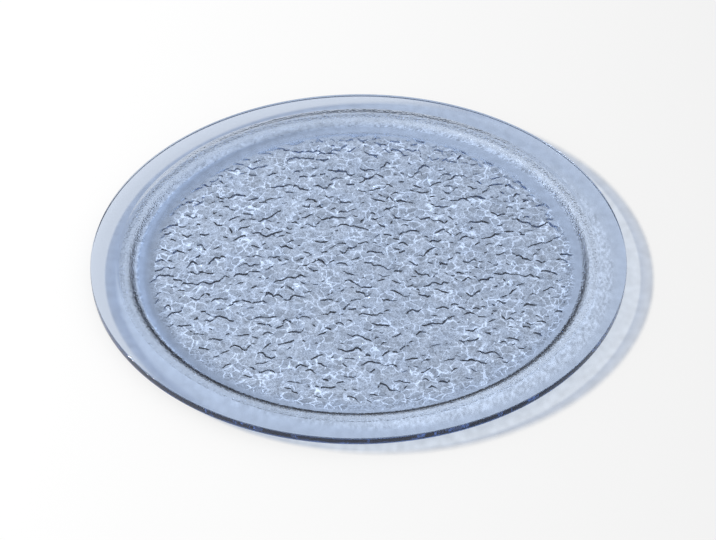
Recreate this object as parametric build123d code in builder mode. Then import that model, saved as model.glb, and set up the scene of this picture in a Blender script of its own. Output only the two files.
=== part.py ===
"""Candle plate: one round piece of pressed glass, revolved about the vertical axis.

Millimetres, +Z up. The origin is the middle of the plane that the plate rests on.
"""

import os

from build123d import *

# Rim: a flat lip with a plain edge
plate_diameter = 280.0
plate_height = 8.1
rim_thickness = 4.2
lip_width = 13.8

# Well: a flank that drops from the lip and runs out into the flat floor for the candles
flank_width = 7.3
floor_thickness = 3.8

# Heel: the steep step under the flank, from the lip's underside down to the foot
heel_inset = 4.6
heel_width = 4.1

# Foot: a smooth ring that the plate stands on, rising gently to the hammered base inside it
foot_width = 5.1
foot_height = 1.2
foot_slope_width = 7.0

# Roundings that the mould leaves
edge_round = 0.5
lip_bend_round = 0.8
well_corner_round = 30.0
heel_top_round = 4.0
foot_outer_round = 5.0
foot_inner_round = 4.0

rim_radius = plate_diameter / 2
rim_underside = plate_height - rim_thickness
lip_inner_radius = rim_radius - lip_width
well_floor_radius = lip_inner_radius - flank_width
well_floor_height = foot_height + floor_thickness
heel_top_radius = lip_inner_radius - heel_inset
foot_outer_radius = heel_top_radius - heel_width
foot_inner_radius = foot_outer_radius - foot_width
base_radius = foot_inner_radius - foot_slope_width

with BuildPart() as glass_plate:
    with BuildSketch(Plane.XZ) as half_section:
        with BuildLine() as outline:
            skin = FilletPolyline(
                (0, foot_height),
                (base_radius, foot_height),
                (foot_inner_radius, 0),
                (foot_outer_radius, 0),
                (heel_top_radius, rim_underside),
                (rim_radius, rim_underside),
                (rim_radius, plate_height),
                (lip_inner_radius, plate_height),
                (well_floor_radius, well_floor_height),
                (0, well_floor_height),
                radius=[
                    foot_inner_round,
                    foot_inner_round,
                    foot_outer_round,
                    heel_top_round,
                    edge_round,
                    edge_round,
                    lip_bend_round,
                    well_corner_round,
                ],
            )
            Line(skin @ 1, skin @ 0)
        make_face()
    revolve(axis=Axis.Z)

glass_plate.part.label = "glass_plate"

os.makedirs("parts", exist_ok=True)
export_step(glass_plate.part, "parts/glass_plate.step")
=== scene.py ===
import math

import bpy
from mathutils import Matrix, Vector


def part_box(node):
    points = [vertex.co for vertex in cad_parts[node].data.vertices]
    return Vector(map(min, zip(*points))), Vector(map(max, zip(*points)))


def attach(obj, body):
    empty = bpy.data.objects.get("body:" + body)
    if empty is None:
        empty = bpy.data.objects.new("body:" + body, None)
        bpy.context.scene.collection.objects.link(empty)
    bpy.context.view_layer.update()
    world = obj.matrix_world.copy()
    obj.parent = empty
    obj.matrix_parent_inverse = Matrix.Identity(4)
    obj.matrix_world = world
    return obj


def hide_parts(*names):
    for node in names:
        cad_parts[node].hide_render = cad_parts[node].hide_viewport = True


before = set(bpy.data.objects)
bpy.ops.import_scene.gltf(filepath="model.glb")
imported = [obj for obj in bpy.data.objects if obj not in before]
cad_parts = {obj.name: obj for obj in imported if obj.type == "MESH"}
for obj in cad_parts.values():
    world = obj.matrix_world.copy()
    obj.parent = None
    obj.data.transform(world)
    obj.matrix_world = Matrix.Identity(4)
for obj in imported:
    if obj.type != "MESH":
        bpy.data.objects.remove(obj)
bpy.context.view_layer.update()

scene = bpy.context.scene
scene.view_settings.view_transform = "Standard"
scene.cycles.caustics_refractive = False
scene.cycles.caustics_reflective = False
mm = 0.001


# Section of the glass, from the middle of the base round the rim to the middle of the well
plate = {
    "rimThickness": 4.2 * mm,
    "lipWidth": 13.8 * mm,
    "flankWidth": 7.3 * mm,
    "floorThickness": 3.8 * mm,
    "heelInset": 4.6 * mm,  # the bend under the lip lies inside the bend above it
    "heelWidth": 4.1 * mm,
    "footWidth": 5.1 * mm,
    "footHeight": 1.2 * mm,
    "footSlope": 7.0 * mm,
    "edgeRound": 0.5 * mm,
    "lipBendRound": 0.8 * mm,
    "wellCornerRound": 30.0 * mm,
    "heelTopRound": 4.0 * mm,
    "footOuterRound": 5.0 * mm,
    "footInnerRound": 14.0 * mm,  # softer than the mould's corner, which would show as an arc
    "hammerRadius": 112.4 * mm,
    "hammerOffset": (1.6 * mm, -4.2 * mm),  # the hammered disc sits a little off the middle
    "hammerFade": 3.5 * mm,
    "grainFade": 1.0 * mm,  # the heel's grain sets in and stops over this width
    "grainOverlap": 0.3 * mm,  # and goes this far past the lip's bend
    "lipGrain": 0.12,  # it runs out thinly under the lip
    "lipGrainWidth": 4.0 * mm,
    "lipGrainFade": 1.5 * mm,
    "frostStart": 1.8 * mm,  # the grain turns to frost up the heel
    "frostWidth": 1.4 * mm,
    "edgeDepth": 0.1 * mm,  # what counts as the rim's edge, from the outside and from the top
    "edgeTop": 0.45 * mm,
    "reliefRings": 128,  # rings of the hammered base, each with six more points than the last
    "plainPoints": 240,  # points of a ring without relief
    "fineMargin": 1.0 * mm,  # the rings with many points go on this far past the grain
    "baseMargin": 1.5 * mm,  # the even rings stop short of the foot's slope
    "wellMargin": 9.0 * mm,  # flat floor between the flank's curve and the flat middle
    "grainStep": 0.8 * mm,  # spacing on the foot and the grained heel
    "smoothStep": 3.0 * mm,  # spacing on plain runs
}


def roundedRun(corners):
    # corners are (radius, height, rounding, arc steps, longest step on the run after it)
    points = [corners[0][:2]]
    last = Vector(corners[0][:2])
    step = corners[0][4]
    for before, corner, after in zip(corners, corners[1:], corners[2:] + [None]):
        tip = Vector(corner[:2])
        if after is None or not corner[2]:
            arc = [tip]
        else:
            inward = (Vector(before[:2]) - tip).normalized()
            outward = (Vector(after[:2]) - tip).normalized()
            half = inward.angle(outward) / 2
            reach = corner[2] / math.tan(half)
            centre = tip + (inward + outward).normalized() * corner[2] / math.sin(half)
            first = tip + inward * reach - centre
            turn = (tip + outward * reach - centre).angle_signed(first)
            steps = corner[3]
            arc = [centre + Matrix.Rotation(turn * i / steps, 2) @ first for i in range(steps + 1)]
        parts = max(1, math.ceil((arc[0] - last).length / step))
        points += [tuple(last.lerp(arc[0], i / parts)) for i in range(1, parts + 1)]
        points += [tuple(p) for p in arc[1:]]
        last, step = arc[-1], corner[4]
    return points


def stitch(faces, inner, outer):
    # triangles between two rings of any two counts, both starting at angle zero
    i = j = 0
    last = len(inner) if len(inner) > 1 else 0
    while i < last or j < len(outer):
        a, b = inner[i % len(inner)], outer[j % len(outer)]
        if j < len(outer) and (i == last or (j + 1) / len(outer) <= (i + 1) / len(inner)):
            faces.append((a, b, outer[(j + 1) % len(outer)]))
            j += 1
        else:
            faces.append((a, b, inner[(i + 1) % len(inner)]))
            i += 1


def plateBlank():
    _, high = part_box("glass_plate")
    rim, top = high.x, high.z
    s = plate
    lipInner = rim - s["lipWidth"]
    wellRadius = lipInner - s["flankWidth"]
    floorTop = s["footHeight"] + s["floorThickness"]
    lipUnder = lipInner - s["heelInset"]
    footOuter = lipUnder - s["heelWidth"]
    footInner = footOuter - s["footWidth"]
    grain, smooth = s["grainStep"], s["smoothStep"]
    base = footInner - s["footSlope"]
    start = base - s["baseMargin"]
    grainEnd = lipInner + s["lipGrainWidth"]
    under = roundedRun([
        (start, s["footHeight"], 0, 0, grain),
        (base, s["footHeight"], s["footInnerRound"], 3, grain),
        (footInner, 0, s["footInnerRound"], 3, grain),
        (footOuter, 0, s["footOuterRound"], 6, grain),
        (lipUnder, top - s["rimThickness"], s["heelTopRound"], 5, grain),
        (grainEnd + s["fineMargin"], top - s["rimThickness"], 0, 1, smooth),
        (rim, top - s["rimThickness"], s["edgeRound"], 4, smooth),
        (rim, top - s["rimThickness"] / 2, 0, 0, smooth),
    ])
    over = roundedRun([
        (rim, top - s["rimThickness"] / 2, 0, 0, smooth),
        (rim, top, s["edgeRound"], 5, smooth),
        (lipInner, top, s["lipBendRound"], 6, smooth),
        (wellRadius, floorTop, s["wellCornerRound"], 16, smooth),
        (wellRadius - s["wellMargin"], floorTop, 0, 0, smooth),
    ])
    rings = s["reliefRings"]
    many = 6 * rings
    fineEnd = grainEnd + s["fineMargin"] / 2
    stations = [(start * k / rings, s["footHeight"], 6 * k) for k in range(1, rings)]
    stations += [(r, z, many if r < fineEnd else s["plainPoints"]) for r, z in under]
    stations += [(r, z, s["plainPoints"]) for r, z in over[1:]]
    verts = [(0, 0, s["footHeight"])]
    loops = [[0]]
    for r, z, count in stations:
        loops.append(list(range(len(verts), len(verts) + count)))
        for i in range(count):
            a = 2 * math.pi * i / count
            verts.append((r * math.cos(a), r * math.sin(a), z))
    faces = []
    for inner, outer in zip(loops, loops[1:]):
        stitch(faces, inner, outer)
    centre = len(verts)
    verts.append((0, 0, floorTop))
    ring = loops[-1]
    faces += [(ring[(i + 1) % len(ring)], a, centre) for i, a in enumerate(ring)]
    mesh = bpy.data.meshes.new("glassPlate")
    mesh.from_pydata(verts, [], [f[::-1] for f in faces])
    # how strongly the relief, the heel's grain and its frost act at each point, and which face it is on
    zones = ("hammered", "grained", "frosted", "rimEdge", "upper")
    for name in zones:
        mesh.attributes.new(name, "FLOAT", "POINT")
    hammered, grained, frosted, rimEdge, upper = (mesh.attributes[name].data for name in zones)
    underCount = 1 + sum(len(loop) for loop in loops[1:rings + len(under)])
    x0, y0 = s["hammerOffset"]
    for i, (x, y, z) in enumerate(verts[:underCount]):
        fade = (s["hammerRadius"] - math.hypot(x - x0, y - y0)) / s["hammerFade"]
        fade = max(0.0, min(1.0, fade))
        hammered[i].value = fade * fade * (3 - 2 * fade)
        r = math.hypot(x, y)
        rise = max(0.0, min(1.0, (r - footOuter + s["grainFade"]) / s["grainFade"]))
        fall = max(0.0, min(1.0, (lipInner + s["grainOverlap"] - r) / s["grainFade"]))
        beyond = max(0.0, min(1.0, (grainEnd - r) / s["lipGrainFade"]))
        grained[i].value = min(rise, max(fall, s["lipGrain"] * beyond))
        frost = (r - footOuter - s["frostStart"]) / s["frostWidth"]
        frosted[i].value = max(0.0, min(1.0, frost)) * grained[i].value
    for i, (x, y, z) in enumerate(verts):
        outside = math.hypot(x, y) > rim - s["edgeDepth"]
        rimEdge[i].value = float(outside and z < top - s["edgeTop"])
        upper[i].value = float(i >= underCount)
    print("plate blank", len(verts), "points", len(faces), "faces")
    return mesh


# Hammer blows and grain that are pressed into the underside, by the names of the tree's inputs
relief = {
    "Cell Size": 4.1 * mm,
    "Hammer Radius": 30.0 * mm,
    "Step Depth": 1.15 * mm,  # how far neighbouring blows may differ in depth
    "Step Width": 0.33,  # and how soon one passes into the next, in cells
    "Warp": 0.55,
    "Ripple Size": 2.2 * mm,
    "Ripple Depth": 0.025 * mm,
    "Grain Depth": 0.16 * mm,
    "Seed": 4.0,
}


def wiring(tree):
    nodes, links = tree.nodes, tree.links

    def plug(socket, value):
        if isinstance(value, (int, float, tuple)):
            socket.default_value = value
        else:
            links.new(value, socket)

    def maths(operation, *values):
        node = nodes.new("ShaderNodeMath")
        node.operation = operation
        for socket, value in zip(node.inputs, values):
            plug(socket, value)
        return node.outputs[0]

    def vectors(operation, *values, scale=None):
        node = nodes.new("ShaderNodeVectorMath")
        node.operation = operation
        for socket, value in zip(node.inputs, values):
            plug(socket, value)
        if scale is not None:
            plug(node.inputs["Scale"], scale)
        return node.outputs[0]

    def noise(place, scale, detail, seed):
        node = nodes.new("ShaderNodeTexNoise")
        node.noise_dimensions = "4D"
        plug(node.inputs["Vector"], place)
        plug(node.inputs["Scale"], scale)
        plug(node.inputs["Detail"], detail)
        plug(node.inputs["W"], seed)
        return node

    return plug, maths, vectors, noise


def hammerCells(tree, place, feature, cellSize, warp, seed):
    # the same wandering cells for the relief and for the painted light lines along its ridges
    # distances are in cells
    plug, maths, vectors, noise = wiring(tree)
    flat = vectors("MULTIPLY", place, (1.0, 1.0, 0.0))
    inCells = vectors("SCALE", flat, scale=maths("DIVIDE", 1.0, cellSize))
    wanderScale = 0.7  # turns per cell
    wander = noise(inCells, wanderScale, 3.0, seed)
    push = vectors("SCALE", vectors("SUBTRACT", wander.outputs["Color"], (0.5, 0.5, 0.5)),
                   scale=maths("MULTIPLY", warp, 2.0))
    cells = tree.nodes.new("ShaderNodeTexVoronoi")
    cells.voronoi_dimensions = "3D"
    cells.feature = feature
    cells.inputs["Scale"].default_value = 1.0
    plug(cells.inputs["Vector"], vectors("ADD", inCells, push))
    return cells


def reliefTree(glass):
    tree = bpy.data.node_groups.new("hammeredRelief", "GeometryNodeTree")
    face = tree.interface
    face.new_socket("Geometry", in_out="INPUT", socket_type="NodeSocketGeometry")
    for name in relief:
        face.new_socket(name, in_out="INPUT", socket_type="NodeSocketFloat")
    face.new_socket("Geometry", in_out="OUTPUT", socket_type="NodeSocketGeometry")
    nodes, links = tree.nodes, tree.links
    plug, maths, vectors, noise = wiring(tree)
    given = nodes.new("NodeGroupInput").outputs
    end = nodes.new("NodeGroupOutput")

    def attribute(name):
        node = nodes.new("GeometryNodeInputNamedAttribute")
        node.data_type = "FLOAT"
        node.inputs["Name"].default_value = name
        return node.outputs["Attribute"]

    place = nodes.new("GeometryNodeInputPosition").outputs[0]
    # a hammer blow is a shallow hollow of one radius
    # blows of different depths meet in short steep steps
    cells = hammerCells(tree, place, "SMOOTH_F1", given["Cell Size"], given["Warp"], given["Seed"])
    plug(cells.inputs["Smoothness"], given["Step Width"])
    away = maths("MULTIPLY", cells.outputs["Distance"], given["Cell Size"])
    depth = nodes.new("FunctionNodeSeparateColor")
    plug(depth.inputs[0], cells.outputs["Color"])
    step = maths("MULTIPLY", maths("SUBTRACT", depth.outputs[0], 0.5), given["Step Depth"])
    twice = maths("MULTIPLY", given["Hammer Radius"], 2.0)
    bowl = maths("DIVIDE", maths("POWER", away, 2.0), twice)
    meanReach = 0.55  # of a cell, from the middle of a blow to its ridge
    reach = maths("MULTIPLY", given["Cell Size"], meanReach)
    middle = maths("DIVIDE", maths("POWER", reach, 2.0), twice)
    inRipples = vectors("SCALE", place, scale=maths("DIVIDE", 1.0, given["Ripple Size"]))
    ripple = noise(inRipples, 1.0, 1.0, given["Seed"])
    # noise keeps within about a quarter of its middle, 0.5
    wave = maths("MULTIPLY", maths("SUBTRACT", ripple.outputs["Fac"], 0.5),
                 maths("MULTIPLY", given["Ripple Depth"], 4.0))
    hollow = maths("ADD", maths("SUBTRACT", middle, bowl), maths("ADD", step, wave))
    height = maths("MULTIPLY", hollow, attribute("hammered"))
    level = nodes.new("ShaderNodeSeparateXYZ")
    plug(level.inputs[0], place)
    hammer = maths("MAXIMUM", height, maths("MULTIPLY", level.outputs["Z"], -1.0))
    speckle = nodes.new("ShaderNodeTexWhiteNoise")
    plug(speckle.inputs["Vector"], place)
    grain = maths("MULTIPLY", maths("SUBTRACT", speckle.outputs["Value"], 0.5), given["Grain Depth"])
    lift = nodes.new("ShaderNodeCombineXYZ")
    plug(lift.inputs["Z"], maths("ADD", hammer, maths("MULTIPLY", grain, attribute("grained"))))
    move = nodes.new("GeometryNodeSetPosition")
    plug(move.inputs["Geometry"], given["Geometry"])
    plug(move.inputs["Offset"], lift.outputs[0])
    real = nodes.new("GeometryNodeRealizeInstances")
    links.new(move.outputs[0], real.inputs[0])
    coat = nodes.new("GeometryNodeSetMaterial")
    coat.inputs["Material"].default_value = glass
    links.new(real.outputs[0], coat.inputs["Geometry"])
    links.new(coat.outputs[0], end.inputs[0])
    return tree


# Tint, flecks and frost of the glass, and the light and shade painted into what it lets down to the
# table
tint = {
    "color": (0.66, 0.755, 0.89, 1.0),  # what is left of each colour, with the density per metre
    "density": 85.0,
    "roughness": 0.02,
    "ior": 1.5,
    "body": 0.84,  # painted light: share of the light that the hammered face lets down between its ridges
    "mottle": 0.34,  # fine unevenness of it
    "mottleScale": 1000.0,  # features per metre, as in all scales here
    "tone": (0.84, 1.15),  # and broad unevenness, least and most
    "toneScale": 190.0,
    "line": 2.2,  # painted caustic light: share along the ridges, standing in for where the hollows throw their light together
    "lineWidth": 0.38 * mm,
    "spread": 1.3,  # the painted lines fall some way below the ridges and have drawn apart by then
    "weakRidge": 0.25,  # strength of a line in the patches where creases take over
    "patchScale": 130.0,
    "creaseSize": 0.45,  # finer lines, in sizes of the main ones
    "creaseWidth": 0.8,
    "creaseStrength": 0.35,
    "clear": 0.975,  # the rest is the faint milkiness of pressed glass
    "face": (0.84, 0.90, 1.0),  # tone of the glass's faces
    "edgeFace": (0.18, 0.29, 0.66),  # painted shade: the edge face is tinted dark navy, for the glass's own blue seen darkened through its full width
    "lip": (0.93, 1.05),  # faint painted mottling of the light under the lip
    "lipScale": 230.0,
    "fleck": 0.52,  # darkest fleck of the hammered face
    "fleckScale": 1100.0,
    "frost": 0.80,  # and of the heel's grain
    "through": (0.94, 0.975, 1.02),  # tone of the painted light that the glass lets down
    "edge": (0.64, 0.69, 0.78),  # painted shadow: the little light that passes the rim's edge is cut to this, a dark band on the table behind it
    "flatCosine": 0.50,  # of the key light on a level face
    "leastCosine": 0.72,  # painted shade: a face that turns from the key light keeps this share of it
    "heel": 1.06,  # painted light: a brighter band where the heel would throw its light together on the foot
    "speckle": (0.6, 1.4),  # painted unevenness of that light, least and most
    "frostColor": (0.91, 0.93, 0.95, 1.0),
    "frosting": (0.12, 0.62),  # share of the light that the grain scatters, least and most
    "grainSize": 0.75 * mm,
    "grainDepth": 0.36 * mm,
}


def blueGlass():
    glass = bpy.data.materials.new("blueGlass")
    glass.use_nodes = True
    tree = glass.node_tree
    nodes, links = tree.nodes, tree.links
    nodes.clear()
    plug, maths, _, noise = wiring(tree)

    def attribute(name):
        node = nodes.new("ShaderNodeAttribute")
        node.attribute_name = name
        return node.outputs["Fac"]

    def blend(share, first, second):
        return maths("ADD", first, maths("MULTIPLY", share, maths("SUBTRACT", second, first)))

    def ramp(value, low, high, start, end):
        node = nodes.new("ShaderNodeMapRange")
        node.interpolation_type = "SMOOTHSTEP"
        for socket, v in zip(node.inputs, (value, low, high, start, end)):
            plug(socket, v)
        return node.outputs[0]

    place = nodes.new("ShaderNodeTexCoord").outputs["Object"]
    hammered = attribute("hammered")
    # painted light: the colour that shadow rays pick up through the glass on their way to the table,
    # with painted caustic lines along the ridges, a mottled body between them, painted shade where a
    # face turns from the key light, and a painted shadow where the light passes the rim's edge
    # noise runs from about 0.3 to 0.7, so its ramps begin and end there
    warp, seed = relief["Warp"], relief["Seed"]
    size, width = relief["Cell Size"] * tint["spread"], tint["lineWidth"]
    fineSize, fineWidth = size * tint["creaseSize"], width * tint["creaseWidth"]
    ridges = hammerCells(tree, place, "DISTANCE_TO_EDGE", size, warp, seed).outputs["Distance"]
    ridges = ramp(ridges, 0.0, width / size, 1.0, 0.0)
    creases = hammerCells(tree, place, "DISTANCE_TO_EDGE", fineSize, warp, seed + 3).outputs["Distance"]
    creases = ramp(creases, 0.0, fineWidth / fineSize, tint["creaseStrength"], 0.0)
    patches = noise(place, tint["patchScale"], 1.0, 2.0).outputs["Fac"]
    ridges = maths("MULTIPLY", ridges, ramp(patches, 0.40, 0.54, tint["weakRidge"], 1.0))
    creases = maths("MULTIPLY", creases, ramp(patches, 0.50, 0.62, 1.0, 0.1))
    line = maths("MAXIMUM", ridges, creases)
    mottle = noise(place, tint["mottleScale"], 2.0, 5.0).outputs["Fac"]
    uneven = maths("MULTIPLY", maths("SUBTRACT", mottle, 0.5), tint["mottle"] * 2)
    between = maths("ADD", tint["body"], uneven)
    tones = noise(place, tint["toneScale"], 1.0, 6.0).outputs["Fac"]
    between = maths("MULTIPLY", between, ramp(tones, 0.35, 0.65, *tint["tone"]))
    # painted light: bright caustic lines over a mottled body, in the light let down to the table
    paintedLightPattern = blend(line, between, tint["line"])
    broad = noise(place, tint["lipScale"], 2.0, 11.0).outputs["Fac"]
    paintedLightPattern = blend(hammered, ramp(broad, 0.35, 0.65, *tint["lip"]), paintedLightPattern)
    grained = attribute("grained")
    speckle = noise(place, 1.0 / tint["grainSize"], 0.0, 7.0).outputs["Fac"]
    speckled = ramp(speckle, 0.35, 0.65, *tint["speckle"])
    paintedLightPattern = maths("MULTIPLY", paintedLightPattern, blend(grained, 1.0, speckled))
    # painted shade: less light let down where a face turns from the key light
    weight = nodes.new("ShaderNodeLayerWeight")
    weight.inputs["Blend"].default_value = 0.5
    paintedFacingShade = maths("DIVIDE", maths("SUBTRACT", 1.0, weight.outputs["Facing"]), tint["flatCosine"])
    paintedFacingShade = maths("MINIMUM", maths("MAXIMUM", paintedFacingShade, tint["leastCosine"]), 1.0)
    light = maths("MULTIPLY", paintedLightPattern, blend(attribute("upper"), 1.0, paintedFacingShade))
    rimEdge = attribute("rimEdge")
    shade = nodes.new("ShaderNodeCombineColor")
    # painted light: the heel brightens the light let down near the foot
    light = maths("MULTIPLY", light, blend(grained, 1.0, tint["heel"]))
    # painted shadow: light that passes the rim's edge is darkened to the edge tone
    for socket, through, edge in zip(shade.inputs, tint["through"], tint["edge"]):
        plug(socket, maths("MULTIPLY", light, blend(rimEdge, math.sqrt(through), edge)))
    through = nodes.new("ShaderNodeBsdfTransparent")
    plug(through.inputs["Color"], shade.outputs[0])
    bump = nodes.new("ShaderNodeBump")
    bump.inputs["Strength"].default_value = 1.0
    bump.inputs["Distance"].default_value = tint["grainDepth"]
    plug(bump.inputs["Height"], maths("MULTIPLY", speckle, grained))
    # fine flecks of the frosted grain and of the hammered face
    fine = noise(place, tint["fleckScale"], 1.0, 9.0).outputs["Fac"]
    fleck = maths("MULTIPLY", blend(grained, 1.0, ramp(speckle, 0.38, 0.56, tint["frost"], 1.0)),
                  blend(hammered, 1.0, ramp(fine, 0.35, 0.60, tint["fleck"], 1.0)))
    tone = nodes.new("ShaderNodeCombineColor")
    # painted shade: the rim's edge face gets a dark navy base colour
    for socket, face, edge in zip(tone.inputs, tint["face"], tint["edgeFace"]):
        plug(socket, maths("MULTIPLY", fleck, blend(rimEdge, face, edge)))
    body = nodes.new("ShaderNodeBsdfPrincipled")
    plug(body.inputs["Base Color"], tone.outputs[0])
    plug(body.inputs["Normal"], bump.outputs[0])
    body.inputs["Roughness"].default_value = tint["roughness"]
    body.inputs["IOR"].default_value = tint["ior"]
    body.inputs["Transmission Weight"].default_value = tint["clear"]
    # shadow rays take the painted light colour instead of the glass
    mix = nodes.new("ShaderNodeMixShader")
    plug(mix.inputs[0], nodes.new("ShaderNodeLightPath").outputs["Is Shadow Ray"])
    # the grain scatters light as frosted glass does
    frosted = nodes.new("ShaderNodeBsdfTranslucent")
    frosted.inputs["Color"].default_value = tint["frostColor"]
    heel = nodes.new("ShaderNodeMixShader")
    scatter = ramp(speckle, 0.40, 0.60, *tint["frosting"])
    plug(heel.inputs[0], maths("MULTIPLY", attribute("frosted"), scatter))
    links.new(body.outputs[0], heel.inputs[1])
    links.new(frosted.outputs[0], heel.inputs[2])
    links.new(heel.outputs[0], mix.inputs[1])
    links.new(through.outputs[0], mix.inputs[2])
    out = nodes.new("ShaderNodeOutputMaterial")
    links.new(mix.outputs[0], out.inputs["Surface"])
    depth = nodes.new("ShaderNodeVolumeAbsorption")
    depth.inputs["Color"].default_value = tint["color"]
    depth.inputs["Density"].default_value = tint["density"]
    links.new(depth.outputs[0], out.inputs["Volume"])
    return glass


def makePlate():
    glass = blueGlass()
    blank = bpy.data.objects.new("blank", plateBlank())
    scene.collection.objects.link(blank)
    modifier = blank.modifiers.new("relief", "NODES")
    modifier.node_group = reliefTree(glass)
    for item in modifier.node_group.interface.items_tree:
        if item.in_out == "INPUT" and item.name in relief:
            modifier[item.identifier] = relief[item.name]
    graph = bpy.context.evaluated_depsgraph_get()
    mesh = bpy.data.meshes.new_from_object(blank.evaluated_get(graph))
    blank.modifiers.remove(modifier)
    bpy.data.objects.remove(blank)
    mesh.shade_smooth()
    piece = bpy.data.objects.new("hammeredPlate", mesh)
    scene.collection.objects.link(piece)
    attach(piece, "root")
    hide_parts("glass_plate")
    print("plate", len(mesh.polygons), "faces")


# White floor under an even sky
studio = {
    "floorColor": (0.93, 0.93, 0.93, 1.0),
    "floorSize": 24.0,
    "floorDrop": 0.2 * mm,  # clear of the foot
    "worldStrength": 0.20,
}


def makeStudio():
    mesh = bpy.data.meshes.new("floor")
    h = studio["floorSize"] / 2
    mesh.from_pydata([(-h, -h, 0), (h, -h, 0), (h, h, 0), (-h, h, 0)], [], [(0, 1, 2, 3)])
    floor = bpy.data.objects.new("floor", mesh)
    scene.collection.objects.link(floor)
    floor.location.z = -studio["floorDrop"]
    paper = bpy.data.materials.new("paper")
    paper.use_nodes = True
    sheet = paper.node_tree.nodes["Principled BSDF"].inputs
    sheet["Base Color"].default_value = studio["floorColor"]
    sheet["Roughness"].default_value = 1.0
    sheet["Specular IOR Level"].default_value = 0.0
    mesh.materials.append(paper)
    world = bpy.data.worlds.new("studio")
    scene.world = world
    world.use_nodes = True
    sky = world.node_tree.nodes["Background"].inputs
    sky["Color"].default_value = (1, 1, 1, 1)
    sky["Strength"].default_value = studio["worldStrength"]
    print("studio", studio["floorSize"], "m floor")


# A long soft box at the left, far enough off to light the floor evenly
keyLight = {
    "place": (-5.176, 0.453, 3.0),
    "width": 1.8,
    "height": 0.36,
    "power": 596,
}


def makeKeyLight():
    lamp = bpy.data.lights.new("key", "AREA")
    lamp.shape = "RECTANGLE"
    lamp.size, lamp.size_y = keyLight["width"], keyLight["height"]
    lamp.energy = keyLight["power"]
    box = bpy.data.objects.new("key", lamp)
    scene.collection.objects.link(box)
    box.location = keyLight["place"]
    box.rotation_euler = (-Vector(keyLight["place"])).to_track_quat("-Z", "Y").to_euler()
    print("key light", keyLight["power"], "W")


# The rim's middle and half width in the picture's pixels, and how the camera stands to the plate
shot = {
    "width": 716,
    "height": 540,
    "rimX": 358.6,
    "rimY": 253.0,
    "rimHalf": 268.4,
    "distance": 1.4,
    "elevation": 39.8,
    "roll": -0.5,
    "sensorWidth": 36.0,
}


def makeCamera():
    _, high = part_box("glass_plate")
    rim = high.x
    e = math.radians(shot["elevation"])
    back = Vector((0, -math.cos(e), math.sin(e)))
    up = Vector((0, math.sin(e), math.cos(e)))
    near = math.sqrt(shot["distance"] ** 2 - (rim * math.cos(e)) ** 2)
    focal = shot["rimHalf"] * near / rim
    camera = bpy.data.cameras.new("camera")
    camera.sensor_width = shot["sensorWidth"]
    camera.lens = focal * shot["sensorWidth"] / shot["width"]
    eye = bpy.data.objects.new("camera", camera)
    scene.collection.objects.link(eye)
    perPixel = shot["distance"] / focal
    aim = Vector((0, 0, high.z)) - up * (shot["height"] / 2 - shot["rimY"]) * perPixel
    aim += Vector((1, 0, 0)) * (shot["width"] / 2 - shot["rimX"]) * perPixel
    eye.location = Vector((0, 0, high.z)) + back * shot["distance"]
    look = (aim - eye.location).to_track_quat("-Z", "Y").to_matrix()
    tilt = Matrix.Rotation(math.radians(shot["roll"]), 3, "Z")
    eye.rotation_euler = (look @ tilt).to_euler()
    scene.camera = eye
    print("camera", [round(x, 3) for x in eye.location], "lens", round(camera.lens, 1))


makePlate()
makeStudio()
makeKeyLight()
makeCamera()
